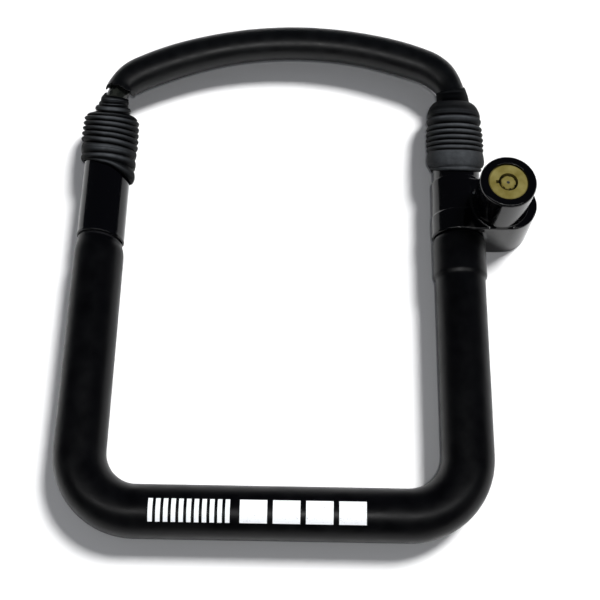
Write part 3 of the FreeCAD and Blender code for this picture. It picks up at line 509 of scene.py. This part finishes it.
# ---------------------------------------------------------------- the bow's sheath
def make_sheath():
    """The sheath round the bow. Its left end is thin, open and torn away underneath."""
    route = Route((RIGHT_LEG, SHEATH_LOW), 90)
    route.run(RIGHT_ELBOW - SHEATH_LOW)
    route.turn(ELBOW, RIGHT_JOIN)
    route.turn(BOW, LEFT_JOIN - RIGHT_JOIN)
    route.turn(ELBOW, 180 - SHEATH_END_ANGLE - LEFT_JOIN)
    route.finish()
    end = route.length
    bore = ROD_RADIUS + GAP
    tuck_depth, tuck_place, tuck_length = 1.75, 19, 6
    swell_height, swell_length, right_swell, left_swell = 0.3, 18, 50, 36
    draw_depth, draw_length = 1.4, 9
    open_depth, open_length = 1.45, 7
    flare_height, flare_length = 0.7, 2.2
    ripple_height = 0.04

    def radius_at(distance):
        """The outside: tucked in at the right neck, swollen by the elbows, drawn in at the left end."""
        tuck = tuck_depth * (1 - math.tanh((distance - tuck_place) / tuck_length)) / 2
        by_right_elbow = math.exp(-((distance - right_swell) / swell_length) ** 2)
        by_left_elbow = math.exp(-((end - distance - left_swell) / swell_length) ** 2)
        swell = swell_height * (by_right_elbow + by_left_elbow)
        draw_in = draw_depth * math.exp(-((end - distance) / draw_length) ** 2)
        return SHEATH_RADIUS - 0.03 - tuck + swell - draw_in

    def bore_at(distance):
        return bore + open_depth * math.exp(-((end - distance) / open_length) ** 2)

    def uneven(distance, radius, angle):
        skin = np.clip((radius - bore - 0.6) / 2, 0, 1)
        inner_side = 0.5 - 0.5 * np.cos(angle)
        near = np.exp(-((end - distance) / flare_length) ** 2)
        flare = flare_height * near * (radius > ROD_RADIUS + 1)
        return radius + flare * inner_side + skin * ripple_height * ripple(distance, angle, 9.0, 1.0)

    def torn(distance, angle):
        """How far the left edge is set back: a deep bite underneath and small rags all round."""
        bite_depth, slant_depth, bite_length, rag_length = 5.5, 0.8, 6, 2.0
        near = np.exp(-((end - distance) / bite_length) ** 2)
        rag = 0.30 * np.sin(9 * angle + 1) + 0.22 * np.sin(14 * angle) + 0.15 * np.sin(23 * angle + 2)
        cut = -bite_depth * np.clip(-np.sin(angle), 0, 1) ** 0.8 + slant_depth * np.cos(angle)
        return near * (cut + rag * np.exp(-(end - distance) / rag_length))

    loop = lip(0, bore, radius_at(0), -1)
    loop += [(d, radius_at(d)) for d in np.arange(1.5, end - 0.8, 0.8)]
    loop += list(reversed(lip(end, bore_at(end), radius_at(end), 1)))
    loop += [(d, bore_at(d)) for d in np.arange(end - 1.5, 3, -1.5)]
    sheath = swept("sheath_skin", route, loop, 120, uneven, torn)
    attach(dress(sheath, "sheath"), "bow")
    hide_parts("bow_sheath")


make_sheath()


# ---------------------------------------------------------------- turned pieces on a leg
def turned(name, leg, loop, sides=128, warp=None):
    """A closed loop of (along, radius) turned about a leg. warp moves the points by angle."""
    loop = np.array(loop, float)
    angle = np.linspace(0, 2 * math.pi, sides, endpoint=False)
    along = loop[:, :1] * np.ones(sides)[None, :]
    radius = loop[:, 1:2] * np.ones(sides)[None, :]
    if warp is not None:
        along, radius = warp(along, radius, angle[None, :] * np.ones_like(along))
    points = np.stack([leg + radius * np.cos(angle), along, PLANE + radius * np.sin(angle)], axis=2)
    return mesh_object(name, points.reshape(-1, 3), [face[::-1] for face in wrap_grid(len(loop), sides)])


def make_left_collar():
    """The painted ferrule. Its low end has a slight flare and sits a little askew."""
    low, high = (corner.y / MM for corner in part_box("left_collar"))
    slant_depth, side_depth, slant_length = 1.55, 0.5, 7
    flare_height, flare_length = 0.15, 0.9

    def askew(along, radius, angle):
        near = np.exp(-((along - low) / slant_length) ** 2)
        slant = -slant_depth * np.cos(angle) - side_depth * (1 - np.abs(np.sin(angle)))
        return along + near * slant, radius

    def radius_at(along):
        return COLLAR_RADIUS - GAP + flare_height * math.exp(-((along - low) / flare_length) ** 2)

    loop = skin_profile(low, high, TUBE_RADIUS + 0.01, COLLAR_RADIUS, 1.0, radius_at)
    collar = turned("left_collar_skin", LEFT_LEG, loop, warp=askew)
    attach(dress(collar, "paint"), "frame")
    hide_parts("left_collar")


make_left_collar()


# ---------------------------------------------------------------- the bellows
def ring(start, end, root, crest, power=2.4, count=15, last_root=None):
    """One moulded ring's outside, from groove to groove."""
    last_root = root if last_root is None else last_root
    line = []
    for place in np.linspace(-1, 1, count)[:-1]:
        foot = root + (last_root - root) * (place + 1) / 2
        lift = (1 - abs(place) ** power) ** (1 / power)
        line.append((start + (end - start) * (place + 1) / 2, foot + (crest - foot) * lift))
    return line


def rings(grooves, crests, root, power=2.4):
    line = []
    for number, crest in enumerate(crests):
        line += ring(grooves[number], grooves[number + 1], root, crest, power)
    return line


def smooth_line(corners, step=0.35):
    """A smooth curve through corners, without the last of them."""
    corners = np.array(corners, float)
    line = []
    for number in range(len(corners) - 1):
        first, last = corners[number], corners[number + 1]
        leave = (last - corners[max(number - 1, 0)]) / 2
        arrive = (corners[min(number + 2, len(corners) - 1)] - first) / 2
        count = max(2, round(np.linalg.norm(last - first) / step))
        for t in np.arange(count) / count:
            point = ((2 * t ** 3 - 3 * t ** 2 + 1) * first + (t ** 3 - 2 * t ** 2 + t) * leave
                     + (3 * t ** 2 - 2 * t ** 3) * last + (t ** 3 - t ** 2) * arrive)
            line.append(tuple(point))
    return line


def store_dust_and_shade(item, values):
    """Stores each point's dustiness and painted light, for the rubber's colour: black in grooves and
    underneath as painted shade, pale on crests and the top.
    """
    attribute = item.data.attributes.new("dust_and_shade", "FLOAT", "POINT")
    attribute.data.foreach_set("value", np.clip(values, 0, 1).astype(np.float32).ravel())


def bend_round(leg, side, start, across, along):
    """Carries points past an elbow's start round the elbow. side is +1 on the right leg."""
    turn = np.clip(along - start, 0, None) / ELBOW
    reach = ELBOW + side * across
    bent_across = leg - side * ELBOW + side * reach * np.cos(turn)
    bent_along = np.where(along > start, start + reach * np.sin(turn), along)
    return bent_across, bent_along


def bellows(name, node, leg, side, outside, bore, tilt, skew, seed, cuff_dust_and_light, lean):
    """A rubber boot that sits askew on its leg.

    outside is its outer line from lip to neck and bore its inner line back down, both as
    (millimetres past the tube's mouth, radius). tilt and skew are lists of (place, millimetres):
    how far the sides lead the top, and how far the left side leads the right. cuff_dust_and_light
    is the least dustiness and painted light on the cuff. lean moves the painted light from above
    towards the left side, or away from it where it is negative.
    """
    loop = np.array(outside + bore, float)
    sides = 160
    skin_radius = 12.4  # anything wider is the bellows' outside, not its neck or bore
    cuff_end = 3.5
    waver_along, waver_out = 0.12, 0.07
    pulled_out, pushed_in, pulled_length = 1.0, 1.1, 4.5
    ring_reach = 2.0  # how near a point's groove and crest are looked for
    least_top_light = 0.1
    angle = np.linspace(0, 2 * math.pi, sides, endpoint=False)[None, :]
    along = loop[:, :1] * np.ones((1, sides))
    radius = loop[:, 1:2] * np.ones((1, sides))
    lead = np.interp(along, *zip(*tilt))
    slant = np.interp(along, *zip(*skew))
    height = np.sin(angle)
    below = np.clip(-height, 0, 1)
    share = np.where(height > 0, 1 - height, 1 + below * (1 - below))
    outer = np.clip((radius - skin_radius) / 1.5, 0, 1)
    right = np.clip(np.cos(angle), 0, 1) ** 1.5
    left = np.clip(-np.cos(angle), 0, 1)
    sway = slant * (right - 0.7 * left)
    moved = along + lead * share - sway + waver_along * ripple(along, angle, 3.0, seed) * outer
    radius = radius + waver_out * ripple(along, angle, 5.0, seed + 2) * outer
    low = np.exp(-((along - loop[0, 0]) / pulled_length) ** 2) * np.clip(slant - 1, 0, 1) * outer
    radius = radius + low * (pulled_out * right - pushed_in * left)
    start = RIGHT_ELBOW if side > 0 else LEFT_ELBOW
    x, y = bend_round(leg, side, start, radius * np.cos(angle), MOUTH + moved)
    points = np.stack([x, y, PLANE + radius * np.sin(angle)], axis=2)
    faces = [face[::-1] for face in wrap_grid(len(loop), sides)]
    item = mesh_object(name, points.reshape(-1, 3), faces)
    line = np.array(outside, float)
    # Painted light: each point's colour value is its ring's crest-ness, so grooves go black as painted shade
    # and crests pale as painted highlight; the cuff keeps a floor of dustiness and painted light.
    shade = np.zeros((len(loop), sides))
    for number, (place, reach) in enumerate(outside):
        near = line[np.abs(line[:, 0] - place) < ring_reach, 1]
        crest = (reach - near.min()) / max(near.max() - near.min(), 0.5)
        shade[number] = max(crest ** 5, cuff_dust_and_light if place < cuff_end else 0)
    # Painted light from above: the top is brightest and the sides and underside darken; lean shifts it to or
    # from the left side.
    lit_from_above = least_top_light + (1 - least_top_light) * np.clip(height + lean * left, 0, 1) ** 3
    store_dust_and_shade(item, shade * lit_from_above)
    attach(dress(item, "rubber"), "bow")
    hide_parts(node)


def make_right_bellows():
    """Cuff, four narrow rings, a bead, a wide shoulder and a neck."""
    outside = ring(-7.9, -5.8, 12.6, 13.6, 2.0, 9)
    outside += ring(-5.8, 3.9, 12.9, 15.2, 2.2, 27, last_root=14.3)
    outside += ring(3.9, 7.0, 14.1, 15.1, 1.9, 13, last_root=13.4)
    outside += rings((7.0, 10.1, 13.5, 16.9, 20.4), (15.25, 15.25, 15.15, 14.9), 12.9, 1.8)
    bead = [(20.4, 12.5), (21.2, 13.5), (22.5, 14.3), (23.9, 14.6), (25.0, 14.3), (25.7, 13.9)]
    shoulder = [(26.5, 14.25), (28.2, 14.2), (30.4, 13.7), (32.8, 12.8), (34.9, 11.5), (36.2, 10.3)]
    neck = [(37.0, 9.2), (37.8, 8.8), (39.6, 8.6), (42.6, 8.2), (44.4, 8.05), (45.0, 7.9), (45.0, 7.7)]
    outside += smooth_line(bead + shoulder + neck)
    bore = [(44.8, 7.35), (30.0, 7.35), (28.6, 10.6), (22.0, 11.3), (2.4, 11.7), (0.9, 12.4), (-7.6, 12.4)]
    tilt = ((-7.9, 6.6), (38.0, 4.5))
    skew = ((0, 0.3), (1, 0.3))
    # The cuff is painted pale, partly dustiness and partly painted light; lean carries the painted top light
    # towards the left side.
    bellows("right_boot", "right_bellows", RIGHT_LEG, 1, outside, bore, tilt, skew,
            seed=4.0, cuff_dust_and_light=0.75, lean=0.35)


def make_left_bellows():
    """Two lips and a cuff, five rings, a shoulder and a ringed neck."""
    outside = ring(-6.6, -4.1, 12.8, 13.9, 2.0, 11)
    outside += ring(-4.1, -0.9, 13.1, 14.6, 2.0, 13)
    outside += ring(-0.9, 4.6, 13.4, 14.8, 2.0, 19)
    outside += rings((4.6, 8.5, 11.7, 15.0, 18.3, 21.6), (15.2, 15.2, 15.1, 14.95, 14.7), 12.8, 1.8)
    shoulder = [(21.6, 12.9), (22.3, 13.5), (23.4, 12.9), (24.7, 11.3), (25.6, 9.6), (26.4, 8.5)]
    outside += smooth_line(shoulder)
    outside += ring(26.4, 30.2, 8.3, 9.6, 2.0)
    outside += ring(30.2, 32.8, 7.2, 8.0, 2.0)
    outside += ring(32.8, 36.8, 6.8, 7.5, 2.2)
    outside += [(37.2, 6.8), (38.1, 6.7), (38.3, 6.45)]
    bore = [(38.2, 6.05), (28.0, 6.05), (24.0, 7.4), (21.0, 11.6), (2.4, 11.6), (0.9, 12.4), (-6.4, 12.5)]
    tilt = ((-6.6, 2.2), (1.4, 6.0), (20.0, 6.8), (38.0, 4.5))
    skew = ((-6.6, 6.85), (-3.6, 1.6), (-0.6, 1.2), (2.0, 2.2), (5.4, 2.9), (20.0, 1.8), (38.0, 0.0))
    # lean takes the painted top light away from the left side.
    bellows("left_boot", "left_bellows", LEFT_LEG, -1, outside, bore, tilt, skew,
            seed=9.0, cuff_dust_and_light=0.0, lean=-0.4)


make_right_bellows()
make_left_bellows()


# ---------------------------------------------------------------- the lock housing, a smooth casting
def smooth_union(first, second, blend):
    mix = np.clip(0.5 + 0.5 * (second - first) / blend, 0, 1)
    return second * (1 - mix) + first * mix - blend * mix * (1 - mix)


def smooth_cut(solid, hole, blend):
    return -smooth_union(-solid, hole, blend)


def rounded(first, second, radius):
    """Joins two half-space distances into a solid with a rounded edge between them."""
    first = first + radius
    second = second + radius
    outside = np.hypot(np.maximum(first, 0), np.maximum(second, 0))
    return outside + np.minimum(np.maximum(first, second), 0) - radius


def slab(value, low, high):
    return np.maximum(low - value, value - high)


def housing_distance(x, y, z):
    """Signed distance to the casting. x and y run from the barrel's axis, z from the tubes' plane."""
    leg = RIGHT_LEG - BARREL.x
    base = -PLANE
    collar_radius, band_radius, spigot_radius, leg_bore = 13.4, 13.9, 12.2, 11.02
    collar_end, band_end, spigot_start, spigot_end = 17.5, -2.5, 10, 27
    barrel_radius, cylinder_radius, chamber_radius = 14.0, 9.82, 6.2
    tunnel_half = 4.7
    grub_radius, pin_radius = 2.0, 1.25
    floor_gap = 0.02
    block_half = 14.4
    block_top = 13.0
    block_round_centre = 4.5
    cover_margin = 2.6
    cover_depth = 2.0
    cylinder_floor = 8.4
    pin_across, pin_along = leg + 7.4, 6.4
    grub_height = 22.0
    round_leg = np.hypot(x - leg, z)
    round_barrel = np.hypot(x, y)
    block_round = np.where(x > block_round_centre, np.hypot(x - block_round_centre, y), np.abs(y))

    # what is there
    collar = rounded(round_leg - collar_radius, slab(y, -block_half, collar_end), 0.9)
    band = rounded(round_leg - band_radius, slab(y, -block_half, band_end), 0.9)
    spigot = rounded(round_leg - spigot_radius, slab(y, spigot_start, spigot_end), 0.6)
    plan = np.maximum(block_round - block_half, leg - x)
    block = rounded(plan, slab(z, base, block_top), 0.7)
    barrel = rounded(round_barrel - barrel_radius, slab(z, base, BARREL_TOP), 1.4)
    solid = smooth_union(collar, band, 0.3)
    solid = smooth_union(solid, spigot, 0.3)
    solid = smooth_union(solid, block, 1.2)
    solid = smooth_union(solid, barrel, 1.6)
    solid = np.maximum(solid, base + floor_gap - z)

    # what is cut away
    cylinder = np.maximum(round_barrel - cylinder_radius, cylinder_floor - z)
    chamber = np.maximum(round_barrel - chamber_radius, slab(z, 4.0, 8.8))
    tunnel_plan = np.maximum(slab(x, leg + 6, 11), np.abs(y) - tunnel_half)
    tunnel = np.maximum(tunnel_plan, slab(z, base - 1, tunnel_half))
    recess_plan = np.maximum(block_round - (block_half - cover_margin), leg + 12 - x)
    recess = np.maximum(recess_plan, slab(z, base - 1, base + cover_depth))
    grub = np.maximum(np.hypot(x, z - grub_height) - grub_radius, slab(y, 5.0, 20.0))
    pin = np.maximum(np.hypot(x - pin_across, y - pin_along) - pin_radius, slab(z, 4.0, 30.0))
    solid = smooth_cut(solid, round_leg - leg_bore, 0.3)
    solid = smooth_cut(solid, cylinder, 0.5)
    solid = smooth_cut(solid, chamber, 0.2)
    solid = smooth_cut(solid, tunnel, 0.2)
    solid = smooth_cut(solid, recess, 0.2)
    solid = smooth_cut(solid, grub, 0.4)
    return smooth_cut(solid, pin, 0.3)


def surface_mesh(name, distance, low, high, cell):
    """A closed quad mesh of a distance field's zero surface, drawn onto it exactly."""
    axes = [np.arange(a - cell * 2, b + cell * 3, cell) for a, b in zip(low, high)]
    grid = np.stack(np.meshgrid(*axes, indexing="ij"), axis=-1)
    field = distance(grid[..., 0], grid[..., 1], grid[..., 2])
    inside = field < 0
    size = np.array(field.shape) - 1
    total = np.zeros((*size, 3))
    crossings = np.zeros(tuple(size))
    corner = [(i, j, k) for i in (0, 1) for j in (0, 1) for k in (0, 1)]

    def part(array, shift):
        return array[tuple(slice(first, first + count) for first, count in zip(shift, size))]

    for first in corner:
        for axis in range(3):
            if first[axis]:
                continue
            second = tuple(value + (1 if number == axis else 0) for number, value in enumerate(first))
            here, there = part(field, first), part(field, second)
            crossed = (here < 0) != (there < 0)
            share = np.where(crossed, here / np.where(here == there, 1, here - there), 0)
            point = part(grid, first) + share[..., None] * (part(grid, second) - part(grid, first))
            total += np.where(crossed[..., None], point, 0)
            crossings += crossed
    cells = np.argwhere(crossings > 0)
    index = -np.ones(tuple(size), int)
    index[tuple(cells.T)] = np.arange(len(cells))
    points = total[tuple(cells.T)] / crossings[tuple(cells.T)][:, None]
    faces = []
    for axis in range(3):
        other = [number for number in range(3) if number != axis]
        forward = [slice(0, -1) if number == axis else slice(1, -1) for number in range(3)]
        ahead = [slice(1, None) if number == axis else slice(1, -1) for number in range(3)]
        here, there = inside[tuple(forward)], inside[tuple(ahead)]
        for way, crossed in ((1, here & ~there), (-1, ~here & there)):
            at = np.argwhere(crossed)
            for number in other:
                at[:, number] += 1
            around = []
            for step in ((0, 0), (-1, 0), (-1, -1), (0, -1)):
                shift = np.zeros(3, int)
                shift[other[0]], shift[other[1]] = step
                around.append(index[tuple((at + shift).T)])
            quad = np.stack(around, axis=1)
            turn = way if axis != 1 else -way
            faces.append(quad if turn > 0 else quad[:, ::-1])
    faces = np.concatenate(faces)
    nudge = cell * 0.05
    longest = cell * 0.4
    for _ in range(4):
        value = distance(*points.T)
        slope = np.stack([
            distance(*(points + nudge * unit).T) - distance(*(points - nudge * unit).T)
            for unit in np.eye(3)], axis=1) / (2 * nudge)
        length = np.maximum((slope ** 2).sum(axis=1), 0.2)
        points = points - np.clip(value / length, -longest, longest)[:, None] * slope
    return points, faces


def make_housing():
    low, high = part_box("lock_housing")
    origin = np.array([BARREL.x, BARREL.y, PLANE])
    reach_low = np.array(low) / MM - origin
    reach_high = np.array(high) / MM - origin
    points, faces = surface_mesh("housing", housing_distance, reach_low, reach_high, 0.45)
    housing = mesh_object("housing_casting", points + origin, faces.tolist())
    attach(dress(housing, "paint"), "frame")
    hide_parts("lock_housing")


make_housing()


# ---------------------------------------------------------------- floor, light and camera
def make_stage():
    reach = 3.0  # metres
    corners = [(-reach, -reach, 0), (reach, -reach, 0), (reach, reach, 0), (-reach, reach, 0)]
    floor = mesh_object("floor", np.array(corners) / MM, [(0, 1, 2, 3)], smooth=False)
    floor.data.materials.append(new_material("floor_white", (0.9, 0.9, 0.9), 0.9, specular=0.1))
    floor.location.z = -0.0002  # just under the lock, so that the faces don't share a plane


def add_light(data, place, target):
    item = bpy.data.objects.new(data.name, data)
    item.location = place
    direction = Vector(target) - Vector(place)
    item.rotation_euler = direction.to_track_quat("-Z", "Y").to_euler()
    bpy.context.scene.collection.objects.link(item)
    return item


def make_sun(name, place, spread_degrees, power, colour=(1, 1, 1)):
    """Even light from one side that isn't mirrored in glossy surfaces, like a big soft window."""
    data = bpy.data.lights.new(name, "SUN")
    data.angle = math.radians(spread_degrees)
    data.energy = power
    data.color = colour
    add_light(data, place, (0, 0, 0)).visible_glossy = False


def make_flash():
    """A small lamp beside the camera, which makes the sharp glints."""
    data = bpy.data.lights.new("flash", "AREA")
    data.shape = "DISK"
    data.size = 0.03
    data.energy = 0.58
    add_light(data, (0.02, -0.24, 0.62), (0, 0.03, 0))


def make_strip():
    """A long thin reflector over the camera. It shows only as the line of light along each curve."""
    data = bpy.data.lights.new("strip", "AREA")
    data.shape = "RECTANGLE"
    data.size = 1.2
    data.size_y = 0.05
    data.energy = 2.4
    add_light(data, (0.0, -0.25, 0.62), (0, 0.03, 0)).visible_diffuse = False


def make_world():
    """A dim, slightly blue sky, so that shadows aren't quite grey."""
    world = bpy.data.worlds.new("world")
    world.use_nodes = True
    background = world.node_tree.nodes["Background"]
    background.inputs["Color"].default_value = (0.80, 0.86, 1.0, 1)
    background.inputs["Strength"].default_value = 0.06
    bpy.context.scene.world = world


def make_camera():
    data = bpy.data.cameras.new("camera")
    data.lens = 63
    data.sensor_width = 36
    data.clip_start = 0.01
    camera = bpy.data.objects.new("camera", data)
    right, back, up = 0.0147, 0.0913, 0.4938  # metres from the middle of the cross bar
    camera.location = (MIDDLE * MM + right, CROSS_BAR * MM - back, PLANE * MM + up)
    camera.rotation_euler = (math.radians(22), 0, math.radians(1))
    bpy.context.scene.collection.objects.link(camera)
    bpy.context.scene.camera = camera


make_stage()
make_sun("key", (0.50, 0.46, 1.0), 16, 4.3)
make_sun("fill", (0.0, -0.1, 1.0), 150, 0.30, (0.93, 0.95, 1.0))
make_flash()
make_strip()
make_world()
bpy.context.scene.view_settings.view_transform = "Standard"
make_camera()
